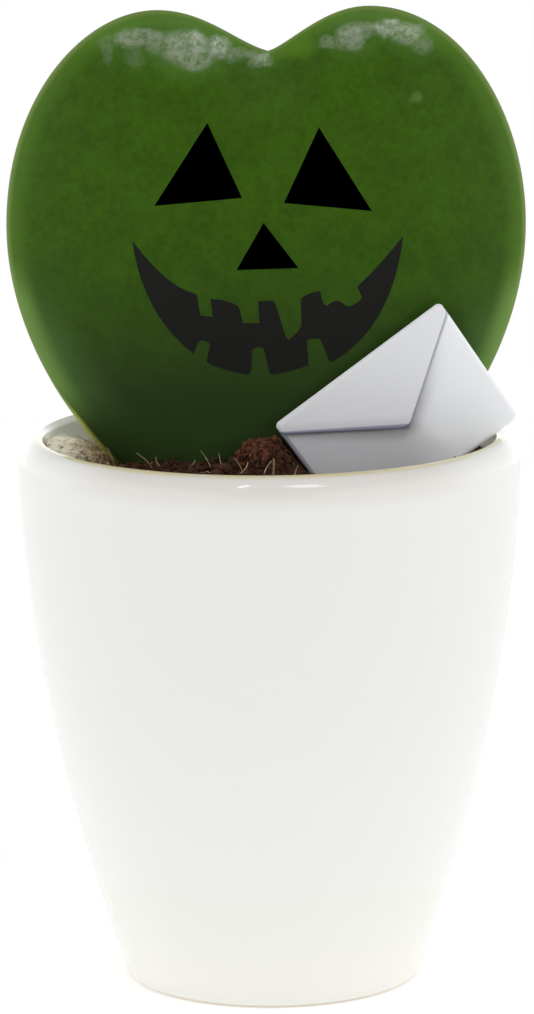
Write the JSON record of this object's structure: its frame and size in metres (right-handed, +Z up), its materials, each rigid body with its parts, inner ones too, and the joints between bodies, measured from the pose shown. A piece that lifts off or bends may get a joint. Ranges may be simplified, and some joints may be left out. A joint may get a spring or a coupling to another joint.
{
  "type": "potted sweetheart hoya leaf",
  "caption": "Heart-shaped hoya leaf with a printed pumpkin face, rooted in coir in a flared white glazed pot, with a small paper envelope beside it.",
  "frame": {"origin": "the middle of the pot's foot, on the surface it stands on", "axes": "+Z up through the pot, -Y towards the printed front of the leaf, +X towards the envelope"},
  "size_m": [0.0722, 0.07, 0.1352],
  "materials": {
    "white_glaze": "gloss",
    "coir": "matte",
    "leaf_green": "satin",
    "black_ink": "satin",
    "charcoal_ink": "satin",
    "white_paper": "matte"
  },
  "bodies": {
    "root": {"pot": "white_glaze", "coir_soil": "coir", "leaf": "leaf_green", "print_eye_left": "black_ink", "print_eye_right": "black_ink", "print_nose": "black_ink", "print_mouth": "charcoal_ink", "envelope": "white_paper"}
  },
  "joints": []
}
